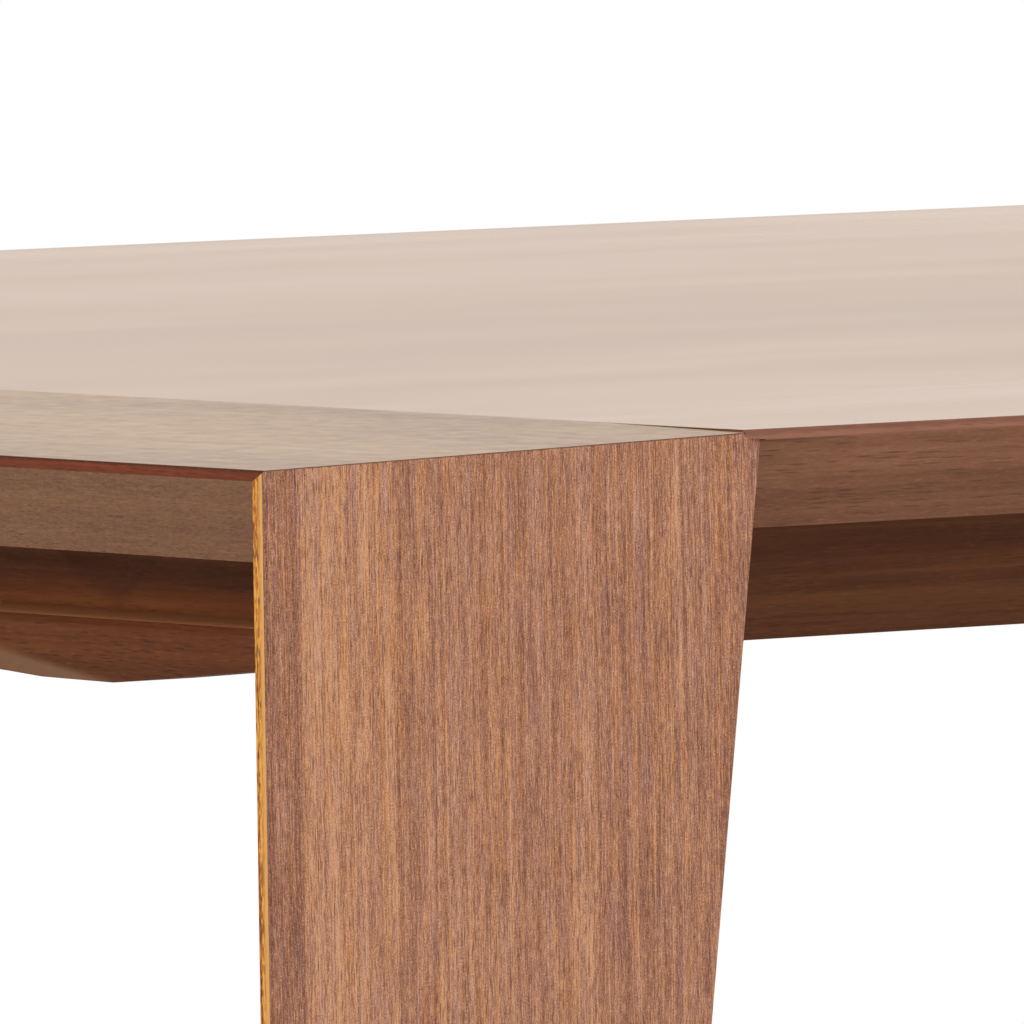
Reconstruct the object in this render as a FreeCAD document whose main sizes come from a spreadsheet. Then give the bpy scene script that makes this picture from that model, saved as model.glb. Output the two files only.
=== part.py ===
import FreeCAD, Part

import os
import re

os.makedirs("parts", exist_ok=True)

# A dining table with a bow-tie top: a straight main panel between two end boards that widen
# towards the ends, on four blade legs that fold down from the end boards' sides.
# X is the length, Y the width, Z is up from the floor. Millimetres and degrees.
SIZES = {
    "over": 40.0,               # how far cutting tools run past the wood
    # top
    "height": 750.0,            # floor to top surface
    "half_length": 1000.0,
    "half_width": 455.0,        # main panel, to the outer face of its lipping
    "end_len": 158.0,           # end board along the table, lipping included
    "flare": 15.0,              # angle of the end boards' sides to the long edges
    "top_thick": 21.3,
    "lip_long": 8.0,
    "lip_end": 22.0,
    "arris_long": 2.2,          # strip along the top of the long edges
    "arris_lean": 61.0,
    "arris_end": 2.4,           # upright strip above the undercut
    "undercut": 36.0,           # lean of the end edge below its strip
    "spline_wide": 24.0,
    "spline_thick": 6.0,
    "spline_half": 380.0,
    # legs
    "leg_top": 169.0,           # blade width at the top surface
    "leg_foot": 52.0,           # blade width at its lower end
    "leg_thick": 32.0,
    "leg_base": 8.0,            # height of the blade's lower end
    "leg_mitre": 37.5,          # hidden mitre, from the wide face
    "strip_wide": 4.4,          # edge strip, seen from the end
    "strip_deep": 3.0,
    "veneer": 1.2,
    # frame under the top
    "block_thick": 66.5,
    "block_out": 956.0,
    "block_in": 850.0,
    "block_base": 704.0,
    "rail_thick": 20.0,
    "long_rail_out": 405.0,
    "long_rail_base": 700.7,
    "end_rail_base": 701.0,
    "cross_wide": 60.0,
    "cross_base": 706.0,
    "cross_pitch": 500.0,
    "board_out": 978.0,
    "board_top": 713.6,
    "board_base": 700.1,
    "haunch_out": 409.4,
    "haunch_in": 380.2,
    "haunch_out_rise": 5.0,
    "haunch_in_rise": 2.6,
    "relief_half": 280.0,
    # fastenings
    "bolt_rad": 4.0,
    "bolt_head_rad": 6.5,
    "bolt_head": 8.0,
    "bolt_level": 716.0,
    "bolt_first": 104.0,
    "bolt_second": 144.0,
    "washer_rad": 8.0,
    "washer_thick": 1.6,
    "insert_rad": 6.0,
    "insert_len": 20.0,
    "plate_long": 140.0,
    "plate_wide": 40.0,
    "plate_thick": 2.5,
    "plate_pitch": 250.0,
    "screw_rad": 2.2,
    "screw_head_rad": 4.2,
    "screw_head": 2.4,
    "screw_room": 0.5,
    "rail_screw_len": 37.0,
    "end_screw_len": 41.0,
    "board_screw_len": 34.0,
    "board_screw_level": 709.0,
    "plate_screw_len": 16.0,
    "dowel_rad": 4.0,
    "dowel_half": 18.0,
    "end_dowel_at": 404.0,
    # levelling feet
    "foot_s": 36.0,             # from the blade's outer corner, along it
    "foot_n": 13.0,             # and into its thickness
    "pad_rad": 11.0,
    "pad_thick": 5.0,
    "flange_rad": 9.0,
    "stem_rad": 4.0,
    "stem_top": 45.0,
    "sleeve_rad": 6.0,
    "sleeve_bore": 4.4,
    "sleeve_top": 34.0,
    "well_rad": 4.6,
    "well_top": 60.0,
}

doc = FreeCAD.newDocument("DiningTable")
sheet = doc.addObject("Spreadsheet::Sheet", "Sizes")
for row, (alias, value) in enumerate(SIZES.items(), start=1):
    sheet.set(f"A{row}", alias)
    sheet.set(f"B{row}", str(value))
    sheet.setAlias(f"B{row}", alias)
doc.recompute()

WORDS = re.compile(r"\b(" + "|".join(sorted(SIZES, key=len, reverse=True)) + r")\b")
X_AXIS = FreeCAD.Vector(1, 0, 0)
Y_AXIS = FreeCAD.Vector(0, 1, 0)
Z_AXIS = FreeCAD.Vector(0, 0, 1)
TURN_X = FreeCAD.Rotation(X_AXIS, 90)
HALF_WIDTH_END = "(half_width + end_len * tan(flare * 1 deg))"
SEAM = "(half_length - end_len)"
UNDER_TOP = "(height - top_thick)"
PIECES = []


def bind(item, name, formula):
    """Ties one property to the sheet; words in the formula are the sheet's names."""
    item.setExpression(name, WORDS.sub(r"Sizes.\1", formula))


def place(item, where, axis=None, angle=None, turn=None):
    """Puts an item at where = three formulas, turned about axis by a formula of degrees."""
    rotation = turn or FreeCAD.Rotation(axis or Z_AXIS, 1 if angle else 0)
    item.Placement = FreeCAD.Placement(FreeCAD.Vector(), rotation)
    for letter, formula in zip("xyz", where):
        bind(item, f"Placement.Base.{letter}", formula)
    if angle:
        bind(item, "Placement.Rotation.Angle", angle)
    return item


def box(size, where, axis=None, angle=None):
    item = doc.addObject("Part::Box", "Box")
    for name, formula in zip(("Length", "Width", "Height"), size):
        bind(item, name, formula)
    return place(item, where, axis, angle)


def wedge(base, top, span, depth, turn):
    """A tapered block: base and top are (from, to) across, span is (from, to) along."""
    item = doc.addObject("Part::Wedge", "Wedge")
    names = ("Xmin", "Xmax", "X2min", "X2max", "Ymin", "Ymax")
    for name, formula in zip(names, (*base, *top, *span)):
        bind(item, name, formula)
    for name, formula in zip(("Zmin", "Zmax"), depth):
        bind(item, name, formula)
        bind(item, name.replace("Z", "Z2"), formula)
    return place(item, ("0", "0", "0"), turn=turn)


def rod(radius, length, where, axis=Z_AXIS, degrees=0):
    item = doc.addObject("Part::Cylinder", "Rod")
    bind(item, "Radius", radius)
    bind(item, "Height", length)
    return place(item, where, turn=FreeCAD.Rotation(axis, degrees))


def cone(low, high, length, where, axis=Z_AXIS, degrees=0):
    item = doc.addObject("Part::Cone", "Cone")
    bind(item, "Radius1", low)
    bind(item, "Radius2", high)
    bind(item, "Height", length)
    return place(item, where, turn=FreeCAD.Rotation(axis, degrees))


def join(items):
    item = doc.addObject("Part::MultiFuse", "Join")
    item.Shapes = items
    return item


def group(items):
    item = doc.addObject("Part::Compound", "Group")
    item.Links = items
    return item


def cut(base, tools):
    item = doc.addObject("Part::Cut", "Cut")
    item.Base = base
    item.Tool = tools[0] if len(tools) == 1 else group(tools)
    return item


def common(base, tool):
    item = doc.addObject("Part::Common", "Common")
    item.Base = base
    item.Tool = tool
    return item


def mirror(source, normal):
    item = doc.addObject("Part::Mirroring", "Mirror")
    item.Source = source
    item.Normal = normal
    return item


def both(source, normal):
    return [source, mirror(source, normal)]


def four(source):
    """The source at the front left corner and its three mirror images: fl, fr, rl, rr."""
    front = both(source, X_AXIS)
    return front + [mirror(item, Y_AXIS) for item in front]


def piece(name, item):
    item.Label = name
    PIECES.append(item)
    return item


def at_corner(item):
    """Moves an item drawn in the leg's own frame to the front left corner of the table."""
    holder = doc.addObject("Part::Compound", "AtCorner")
    holder.Links = [item]
    return place(holder, ("-half_length", f"-{HALF_WIDTH_END}", "0"), Z_AXIS, "flare")


CORNERS = ("front_left", "front_right", "rear_left", "rear_right")

# --- one leg in its own frame: X along the blade, Y into its thickness, from the outer corner
blade = wedge(("0", "leg_foot"), ("0", "leg_top"), ("leg_base", "height"),
              ("-leg_thick", "0"), TURN_X)
end_plane = box(("over * 2", "over * 2", "height + over"), ("0", "0", "-over / 2"),
                Z_AXIS, "90 - flare")
mitre_at = ("strip_wide * sin(flare * 1 deg)", "strip_wide * cos(flare * 1 deg)", "-over / 2")
mitre_side = box(("over * 2", "over * 2", "height + over"), mitre_at, Z_AXIS, "leg_mitre")
top_fold = box(("leg_top + over", "over * 2", "over"), ("-over / 2", "0", "height"),
               X_AXIS, "-45")
top_flat = box(("leg_top + over", "over", "over"), ("-over / 2", "top_thick", UNDER_TOP))
under_arris = box(("over", "over * 2", "over"),
                  ("end_len / cos(flare * 1 deg)", "-over / 2", "height - arris_end"))
blade = cut(blade, [join([end_plane, mitre_side, top_fold, top_flat, under_arris])])

strip_slab = box(("over * 2", "strip_deep", "height + over"),
                 ("strip_deep * cos(flare * 1 deg)", "-strip_deep * sin(flare * 1 deg)", "-over / 2"),
                 Z_AXIS, "90 - flare")
behind_veneer = box(("leg_top", "leg_thick", "height"), ("-over / 2", "veneer", "0"))
edge_strip = common(common(blade, strip_slab), behind_veneer)
blade = cut(blade, [edge_strip])

# leg bolts run from the corner block through to inserts in the blade
BACK = "(leg_thick + block_thick)"
bolts = []
washers = []
inserts = []
bolt_ways = []
for along in ("bolt_first", "bolt_second"):
    shank = rod("bolt_rad", f"{BACK} + washer_thick - (leg_thick - insert_len)",
                (along, f"{BACK} + washer_thick", "bolt_level"), X_AXIS, 90)
    head = rod("bolt_head_rad", "bolt_head",
               (along, f"{BACK} + washer_thick + bolt_head", "bolt_level"), X_AXIS, 90)
    bolts.append(join([shank, head]))
    disc = rod("washer_rad", "washer_thick",
               (along, f"{BACK} + washer_thick", "bolt_level"), X_AXIS, 90)
    washers.append(cut(disc, [shank]))
    sleeve = rod("insert_rad", "insert_len", (along, "leg_thick", "bolt_level"), X_AXIS, 90)
    inserts.append(cut(sleeve, [shank]))
    bolt_ways.append(rod("bolt_rad + screw_room", "block_thick + over",
                         (along, f"{BACK} + over / 2", "bolt_level"), X_AXIS, 90))
    bolt_ways.append(sleeve)

# levelling foot under the blade, in a threaded sleeve
foot_at = ("foot_s", "foot_n")
sleeve_solid = rod("sleeve_rad", "sleeve_top - leg_base", (*foot_at, "leg_base"))
sleeve_bore = rod("sleeve_bore", "sleeve_top", (*foot_at, "0"))
foot_sleeve = cut(sleeve_solid, [sleeve_bore])
well = rod("well_rad", "well_top - leg_base", (*foot_at, "leg_base"))
blade = cut(blade, [join([sleeve_solid, well] + bolt_ways[1::2])])
pad = rod("pad_rad", "pad_thick", (*foot_at, "0"))
flange = rod("flange_rad", "leg_base - pad_thick", (*foot_at, "pad_thick"))
stem = join([flange, rod("stem_rad", "stem_top - leg_base", (*foot_at, "leg_base"))])

legs = four(at_corner(blade))
strips = four(at_corner(edge_strip))
stems = four(at_corner(stem))
pads = four(at_corner(pad))
for corner, leg, strip, foot_stem, foot_pad in zip(CORNERS, legs, strips, stems, pads):
    piece(f"leg_{corner}", leg)
    piece(f"leg_strip_{corner}", strip)
    piece(f"foot_stem_{corner}", foot_stem)
    piece(f"foot_pad_{corner}", foot_pad)
piece("leg_bolts", group(four(at_corner(group(bolts)))))
piece("leg_washers", group(four(at_corner(group(washers)))))
piece("leg_inserts", group(four(at_corner(group(inserts)))))
piece("foot_sleeves", group(four(at_corner(foot_sleeve))))

# --- fastenings of the frame, drawn first because the wood is drilled to them


def screw(where, length, axis, degrees):
    """A countersunk screw whose head lies flush at where and whose point runs along Z turned."""
    shank = rod("screw_rad", length, where, axis, degrees)
    head = cone("screw_head_rad", "screw_rad", "screw_head", where, axis, degrees)
    return join([shank, head])


rail_screws = {}
for index in (-1, 0, 1):
    rail_screws[index] = [
        screw((f"{index} * cross_pitch", across, "cross_base"), "rail_screw_len", Z_AXIS, 0)
        for across in ("-290", "-100", "100", "290")]
end_screws = [
    screw(("-(block_out - rail_thick / 2)", across, "end_rail_base"),
          "end_screw_len", Z_AXIS, 0)
    for across in ("-300", "-110", "110", "300")]
board_screws = [
    screw(("-(block_out - rail_thick)", across, "board_screw_level"),
          "board_screw_len", Y_AXIS, -90)
    for across in ("-340", "-30", "30", "340")]
plates = []
plate_screws = []
for index in (-1, 0, 1):
    across = f"{index} * plate_pitch"
    plate = box(("plate_long", "plate_wide", "plate_thick"),
                (f"-{SEAM} - plate_long / 2", f"{across} - plate_wide / 2",
                 f"{UNDER_TOP} - plate_thick"))
    own = [screw((f"-{SEAM} + {along}", across, f"{UNDER_TOP} - plate_thick"),
                 "plate_screw_len", Z_AXIS, 0)
           for along in ("-55", "-30", "30", "55")]
    plates.append(cut(plate, own))
    plate_screws += own
long_dowels = []
end_dowels = []
for level in ("709", "720"):
    long_dowels.append(rod("dowel_rad", "dowel_half * 2",
                           ("-block_in - dowel_half", "-(long_rail_out - rail_thick / 2)", level),
                           Y_AXIS, 90))
    end_dowels.append(rod("dowel_rad", "dowel_half * 2",
                          ("-(block_out - rail_thick / 2)", "-end_dowel_at", level),
                          X_AXIS, -90))

# --- frame under the top
slab = at_corner(box(("leg_top + over * 2", "block_thick", f"{UNDER_TOP} - block_base"),
                     ("0", "leg_thick", "block_base")))
window = box(("block_out - block_in", "half_width", "over * 2"),
             ("-block_out", "-half_width - over", "block_base - over / 2"))
block = common(slab, window)
drilled = at_corner(join(bolt_ways[0::2]))
block = cut(block, [drilled] + long_dowels + end_dowels)
blocks = four(block)
for corner, item in zip(CORNERS, blocks):
    piece(f"corner_block_{corner}", item)

long_rail = box(("block_in * 2", "rail_thick", f"{UNDER_TOP} - long_rail_base"),
                ("-block_in", "-long_rail_out", "long_rail_base"))
long_dowels_front = long_dowels + [mirror(item, X_AXIS) for item in long_dowels]
long_rail = cut(long_rail, long_dowels_front)
for side, item in zip(("front", "rear"), both(long_rail, Y_AXIS)):
    piece(f"long_rail_{side}", item)

end_rail = box(("rail_thick", "half_width * 2 - over * 2.5", f"{UNDER_TOP} - end_rail_base"),
               ("-block_out", "-half_width + over * 1.25", "end_rail_base"))
end_dowels_left = end_dowels + [mirror(item, Y_AXIS) for item in end_dowels]
open_slab = at_corner(box(("leg_top + over * 2", "block_thick", "over * 2"),
                          ("0", "leg_thick", "block_base - over / 2")))
end_rail = cut(end_rail, both(open_slab, Y_AXIS) + end_dowels_left + end_screws + board_screws)
for side, item in zip(("left", "right"), both(end_rail, X_AXIS)):
    piece(f"end_rail_{side}", item)

for index, name in zip((-1, 0, 1), ("left", "middle", "right")):
    rail = box(("cross_wide", "(long_rail_out - rail_thick) * 2", f"{UNDER_TOP} - cross_base"),
               (f"{index} * cross_pitch - cross_wide / 2", "-(long_rail_out - rail_thick)",
                "cross_base"))
    piece(f"cross_rail_{name}", cut(rail, rail_screws[index]))

# lower cross board: deepest at a haunch near each leg, easing up towards leg and middle
lower = box(("board_out - block_out", "half_width * 2 + over", "board_top - board_base"),
            ("-board_out", "-half_width - over / 2", "board_base"))
to_leg = box(("over", "over * 2", "over"),
             ("-board_out - over / 4",
              "-haunch_out - over * 2 * cos(haunch_out_rise * 1 deg)"
              " - over * sin(haunch_out_rise * 1 deg)",
              "board_base + over * 2 * sin(haunch_out_rise * 1 deg)"
              " - over * cos(haunch_out_rise * 1 deg)"),
             X_AXIS, "-haunch_out_rise")
to_middle = box(("over", "(haunch_in - relief_half) / cos(haunch_in_rise * 1 deg)", "over"),
                ("-board_out - over / 4", "-haunch_in + over * sin(haunch_in_rise * 1 deg)",
                 "board_base - over * cos(haunch_in_rise * 1 deg)"),
                X_AXIS, "haunch_in_rise")
relief = "(haunch_in - relief_half) * tan(haunch_in_rise * 1 deg)"
middle = box(("over", "relief_half * 2", "over"),
             ("-board_out - over / 4", "-relief_half", f"board_base + {relief} - over"))
left_legs = [legs[0], legs[2], strips[0], strips[2]]
lower = cut(lower, both(to_leg, Y_AXIS) + both(to_middle, Y_AXIS) + [middle])
lower = cut(lower, left_legs + board_screws)
for side, item in zip(("left", "right"), both(lower, X_AXIS)):
    piece(f"lower_board_{side}", item)

# --- top
spline = box(("spline_wide", "spline_half * 2", "spline_thick"),
             (f"-{SEAM} - spline_wide / 2", "-spline_half",
              "height - top_thick / 2 - spline_thick / 2"))
splines = both(spline, X_AXIS)
for side, item in zip(("left", "right"), splines):
    piece(f"seam_spline_{side}", item)

TURN_BOARD = FreeCAD.Rotation(Z_AXIS, -90)
HALF_AT_LIP = "(half_width + (end_len - lip_end) * tan(flare * 1 deg))"
end_board = wedge((f"-{HALF_AT_LIP}", HALF_AT_LIP), ("-half_width", "half_width"),
                  ("-half_length + lip_end", f"-{SEAM}"), (UNDER_TOP, "height"), TURN_BOARD)
end_board = cut(end_board, left_legs + [spline] + end_screws + plate_screws)
for side, item in zip(("left", "right"), both(end_board, X_AXIS)):
    piece(f"end_board_{side}", item)

lip = wedge((f"-{HALF_WIDTH_END}", HALF_WIDTH_END), (f"-{HALF_AT_LIP}", HALF_AT_LIP),
            ("-half_length", "-half_length + lip_end"), (UNDER_TOP, "height"), TURN_BOARD)
below = box(("over * 2", "half_length * 2", "over"),
            ("-half_length - over * cos(undercut * 1 deg)", "-half_length",
             "height - arris_end - over * sin(undercut * 1 deg)"), Y_AXIS, "90 - undercut")
lip = cut(lip, [below] + left_legs)
for side, item in zip(("left", "right"), both(lip, X_AXIS)):
    piece(f"end_lipping_{side}", item)

lean = box((f"{SEAM} * 2 + over", "over", "over"),
           (f"-{SEAM} - over / 2", "-half_width", "height - arris_long"), X_AXIS, "arris_lean")
long_lip = box((f"{SEAM} * 2", "lip_long", "top_thick"), (f"-{SEAM}", "-half_width", UNDER_TOP))
long_lip = cut(long_lip, [lean, legs[0], legs[1]])
for side, item in zip(("front", "rear"), both(long_lip, Y_AXIS)):
    piece(f"long_lipping_{side}", item)

panel = box((f"{SEAM} * 2", "(half_width - lip_long) * 2", "top_thick"),
            (f"-{SEAM}", "-(half_width - lip_long)", UNDER_TOP))
all_rail_screws = [item for index in rail_screws for item in rail_screws[index]]
all_plate_screws = plate_screws + [mirror(item, X_AXIS) for item in plate_screws]
panel = cut(panel, legs + splines + all_rail_screws + all_plate_screws)
piece("main_panel", panel)

piece("rail_screws", group(all_rail_screws))
piece("end_rail_screws", group(both(group(end_screws), X_AXIS)))
piece("lower_board_screws", group(both(group(board_screws), X_AXIS)))
piece("seam_plates", group(both(group(plates), X_AXIS)))
piece("seam_plate_screws", group(both(group(plate_screws), X_AXIS)))
piece("frame_dowels", group(four(group(long_dowels + end_dowels))))

doc.recompute()
for item in doc.Objects:
    if "Invalid" in item.State or "Error" in item.State:
        raise SystemExit(f"{item.Name} {item.Label} did not recompute: {item.State}")
for item in PIECES:
    shape = item.Shape
    if shape.isNull() or not shape.isValid() or not shape.Solids:
        raise SystemExit(f"{item.Label} has no valid solid")
    shape.exportStep(f"parts/{item.Label}.step")
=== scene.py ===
import math

import bmesh
import bpy
from bpy.props import FloatProperty, FloatVectorProperty, PointerProperty
from mathutils import Matrix, Vector


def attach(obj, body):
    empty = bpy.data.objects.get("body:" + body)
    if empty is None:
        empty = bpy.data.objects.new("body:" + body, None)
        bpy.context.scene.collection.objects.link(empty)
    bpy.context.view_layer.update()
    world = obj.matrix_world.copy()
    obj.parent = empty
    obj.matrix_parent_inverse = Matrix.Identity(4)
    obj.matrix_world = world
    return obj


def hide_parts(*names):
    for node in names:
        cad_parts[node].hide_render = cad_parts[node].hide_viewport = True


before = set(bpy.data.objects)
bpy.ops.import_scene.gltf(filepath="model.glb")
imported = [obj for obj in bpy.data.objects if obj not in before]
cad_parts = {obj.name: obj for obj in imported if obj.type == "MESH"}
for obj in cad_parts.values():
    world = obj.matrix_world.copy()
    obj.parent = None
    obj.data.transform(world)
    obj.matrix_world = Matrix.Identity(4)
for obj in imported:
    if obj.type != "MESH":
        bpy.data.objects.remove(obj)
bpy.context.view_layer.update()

bl_info = {
    "name": "Flared-end dining table",
    "version": (1, 0, 0),
    "blender": (4, 5, 0),
    "location": "View3D > Sidebar > Table",
    "description": "Dresses the table's frame: boards, legs, under-frame, fastenings and feet",
    "category": "Object",
}

MM = 0.001

# the top, in millimetres: X is the length, Y the width, Z the height above the floor
HALF_LENGTH = 1000.0
HALF_WIDTH = 455.0              # main panel with its lippings
PANEL_HALF = 447.0              # main panel without them
END_LEN = 158.0                 # end board along the table, lipping included
LIP_END = 22.0                  # end lipping along the table
SEAM = HALF_LENGTH - END_LEN
FLARE = math.radians(15)        # angle of the end boards' sides to the long edges
HALF_END = HALF_WIDTH + END_LEN * math.tan(FLARE)
HEIGHT = 750.0
UNDER_TOP = 728.7
UNDERCUT = math.radians(36)     # lean of the ends below their upright strip
END_STRIP = 2.4
LONG_STRIP = 2.2                # sloping strip along the top of the long edges
LONG_LEAN = math.radians(61)    # slope of that strip
SCRIBE_TOP = 747.6              # the long lippings' ends are planed back below this height
SCRIBE_LEN = 26.0               # and the planing fades out over this length

# the legs, drawn with s along the blade from its golden strip and n into it from the wide face
LEG_THICK = 32.0
LEG_FOOT = 52                   # width at the foot and at the table's height
LEG_TOP = 169
LEG_BASE = 8.0
LEG_HEAD = 790                  # height of the blank before its top is cut
LEG_FACE = (math.sin(FLARE), math.cos(FLARE))   # direction of the end face
LEG_MITRE = math.radians(37.5)  # lean of the hidden mitre to the wide face
LEG_SEAM = END_LEN / math.cos(FLARE)            # where the blade passes the seam
ARRIS_END = 748.2               # top of the blade beyond the seam, and its fall along the blade
ARRIS_FALL = 0.085
STRIP_WIDE = 4.4
STRIP_DEEP = 3.0
STRIP_FALL = math.tan(math.radians(29))         # slope of the golden strip's top
FOOT = (36, 13)
RUN_OUT = 2.3                   # where the long edge's strip crosses the blade's corner
RUN_OUT_LEAN = (-0.51, 1.8, -1)
FOLD = 740                      # what lies above this height belongs to the upper surface

# the frame under the top
FRAME_OUT = 956
FRAME_IN = 850
BLOCK_THICK = 66.5
BLOCK_BASE = 704
RAIL_THICK = 20
END_RAIL_BASE = 701
LONG_RAIL_OUT = 405
LONG_RAIL_BASE = 700.7
CROSS_HALF = 30
CROSS_BASE = 706
CROSS_PITCH = 500
RELIEF_FOOT = 713.4             # lowest point of the planed corners at the joints
RELIEF_DEEP = 1.2
RELIEF_OVER = 1.9               # how far inside the joint it lies
RELIEF_RUNS = (19, 31)          # its reach along the block and along the rail

# the lower boards
BOARD_OUT = 978
BOARD_BASE = 700.1
BOARD_TOP = 713.6
HAUNCH = 409.4                  # outside this line the lower edge rises
HAUNCH_TIP = 408.0
HAUNCH_IN = 380.2
HAUNCH_FADE = 366.0
LIFT_END = 280.0                # from here inwards the underside stays lifted
LIFT = 4.55
LIFT_START = 0.65
CREASE = 705.8                  # the front's bevel ends at this height
BEVEL = 2.7
BEVEL_TIP = 1.7

# fastenings
SCREW_HEAD = 4.2
SCREW_SHANK = 2.2
CROSS_SCREWS = (-290, -100, 100, 290)
RAIL_SCREWS = (-300, -110, 110, 300)
BOARD_SCREWS = (-340, -30, 30, 340)
BOARD_SCREW_LEVEL = 709
PLATE_BASE = 726.2
PLATE_HALF = (70, 20)
PLATE_ROWS = (-250, 0, 250)
PLATE_HOLES = (-55, -30, 30, 55)
BOLT_HEAD = 6.5
BOLT_SHANK = 4
BOLT_LEN = 86.9
BOLT_LEVEL = 716
BOLTS_ALONG = (104, 144)
WASHER = 1.6                    # thickness
PAD_RADIUS = 11
PAD_TOP = 5
FLANGE_TOP = 8
STEM_CORE = 3.35
STEM_TOP = 45
THREAD_LEN = 34

# mirrored copies
CORNERS = {
    "front_left": (1, 1, 1),
    "front_right": (-1, 1, 1),
    "rear_left": (1, -1, 1),
    "rear_right": (-1, -1, 1),
}
ENDS = {"left": (1, 1, 1), "right": (-1, 1, 1)}
EDGES = {"front": (1, 1, 1), "rear": (1, -1, 1)}
REAR = (1, -1, 1)

# the camera: place in metres, then yaw, pitch down and roll in degrees
CAMERA_PLACE = (-3.45260754, -3.92625806, 0.97132732)
CAMERA_TURNS = (36.27616, 3.14095, -0.820479)
CAMERA_LENS = 708.703


# --- settings a user would change

def length(name, description, default, low=0.0, high=100.0):
    return FloatProperty(name=name, description=description, default=default, min=low, max=high,
                         subtype="DISTANCE_CAMERA")


def colour(name, description, default):
    return FloatVectorProperty(name=name, description=description, default=default, size=3,
                               min=0.0, max=1.0, subtype="COLOR_GAMMA")


def power(name, description, default):
    return FloatProperty(name=name, description=description, default=default, min=0.0,
                         unit="POWER")


class TableSizes(bpy.types.PropertyGroup):
    """Small sizes of the finished pieces, in millimetres"""
    eased_edge: length("Eased edge", "Rounding of the boards' sharp edges", 0.25)
    frame_edge: length("Frame edge", "Rounding of the rails' and blocks' edges", 0.4)
    board_drop: length("Board drop", "How far the end boards fall from the seam to their ends", 0.57)
    veneer: length("Leg veneer", "Thickness of the face veneer beside the golden strip", 1.2)
    seam_run: length("Seam run", "How far in the open part of the seam reaches", 58.0)
    strip_top: length("Strip width at the top", "Golden strip's width under the top", 4.75)
    strip_foot: length("Strip width below", "Golden strip's width along the lower leg", 3.8)
    strip_run: length("Strip taper", "Height over which the strip narrows", 130.0, high=500.0)
    thread_pitch: length("Thread pitch", "Pitch of the levelling screws", 1.25, low=0.5)


class TableFinishes(bpy.types.PropertyGroup):
    """Colours of the wood, as they look"""
    tan: colour("Tan", "Light sapwood bands", (0.78, 0.56, 0.41))
    bright: colour("Bright", "Brightest orange bands", (0.835, 0.62, 0.46))
    rose: colour("Rose", "Pinkish middle tone", (0.70, 0.475, 0.355))
    brown: colour("Brown", "Middle brown bands", (0.615, 0.41, 0.303))
    plum: colour("Plum", "Dark purple-brown bands", (0.53, 0.335, 0.247))
    pore: colour("Pore", "Pores and dark fibres", (0.30, 0.17, 0.12))


class StudioLight(bpy.types.PropertyGroup):
    """Lamps and surroundings"""
    sky: FloatProperty(name="Sky", description="Light of the surroundings", default=0.82, min=0.0)
    key: power("Key", "Front right lamp", 42.0)
    side: power("Side", "Left lamp", 16.0)
    top: power("Top", "Lamp over the table", 20.0)


# --- modelling helpers: all lengths in millimetres

def only(obj):
    """Leaves one object selected and active."""
    if bpy.context.mode != "OBJECT":
        bpy.ops.object.mode_set(mode="OBJECT")
    bpy.ops.object.select_all(action="DESELECT")
    obj.select_set(True)
    bpy.context.view_layer.objects.active = obj


def named(name):
    """Names what was just added and keeps its place and size in its mesh."""
    obj = bpy.context.active_object
    obj.name = obj.data.name = name
    bpy.ops.object.transform_apply(location=True, rotation=True, scale=True)
    return obj


def block(name, low, high):
    """A cube stretched from one corner to the other."""
    bpy.ops.object.select_all(action="DESELECT")
    bpy.ops.mesh.primitive_cube_add(
        size=1,
        location=[(a + b) / 2 * MM for a, b in zip(low, high)],
        scale=[(b - a) * MM for a, b in zip(low, high)])
    return named(name)


def rod(name, radius, low, high, around=(0.0, 0.0), sides=48):
    """An upright cylinder."""
    bpy.ops.object.select_all(action="DESELECT")
    bpy.ops.mesh.primitive_cylinder_add(
        vertices=sides, radius=radius * MM, depth=(high - low) * MM,
        location=(around[0] * MM, around[1] * MM, (low + high) / 2 * MM))
    return named(name)


def pick(obj, kind, test):
    """Opens edit mode with the verts, edges or faces chosen whose points all pass the test."""
    only(obj)
    bpy.ops.object.mode_set(mode="EDIT")
    bpy.context.tool_settings.mesh_select_mode = [kind == k for k in ("VERT", "EDGE", "FACE")]
    bpy.ops.mesh.select_all(action="DESELECT")
    mesh = bmesh.from_edit_mesh(obj.data)
    found = 0
    for item in {"VERT": mesh.verts, "EDGE": mesh.edges, "FACE": mesh.faces}[kind]:
        points = [item.co] if kind == "VERT" else [v.co for v in item.verts]
        chosen = all(test(*(p / MM)) for p in points)
        item.select_set(chosen)
        found += chosen
    mesh.select_flush_mode()
    bmesh.update_edit_mesh(obj.data)
    if not found:
        raise RuntimeError(f"{obj.name}: nothing was chosen")


def edit_all(obj):
    """Opens edit mode with everything chosen."""
    only(obj)
    bpy.ops.object.mode_set(mode="EDIT")
    bpy.ops.mesh.select_all(action="SELECT")


def done(obj):
    bpy.ops.object.mode_set(mode="OBJECT")
    return obj


def trim(obj, point, normal, keep=False):
    """Saws along a plane; what lies on the normal's side falls away unless keep is set."""
    edit_all(obj)
    bpy.ops.mesh.bisect(plane_co=[c * MM for c in point], plane_no=Vector(normal).normalized(),
                        use_fill=not keep, clear_outer=not keep)
    return done(obj)


def shift(obj, test, by):
    """Moves the chosen points."""
    pick(obj, "VERT", test)
    bpy.ops.transform.translate(value=[c * MM for c in by])
    return done(obj)


def narrow(obj, test, scale):
    """Draws the chosen points together."""
    pick(obj, "VERT", test)
    bpy.ops.transform.resize(value=scale)
    return done(obj)


def ease(obj, width, test, segments=3):
    """Rounds the chosen edges."""
    pick(obj, "EDGE", test)
    bpy.ops.mesh.bevel(offset=width * MM, segments=segments, profile=0.5, affect="EDGES",
                       clamp_overlap=True)
    return done(obj)


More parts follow.
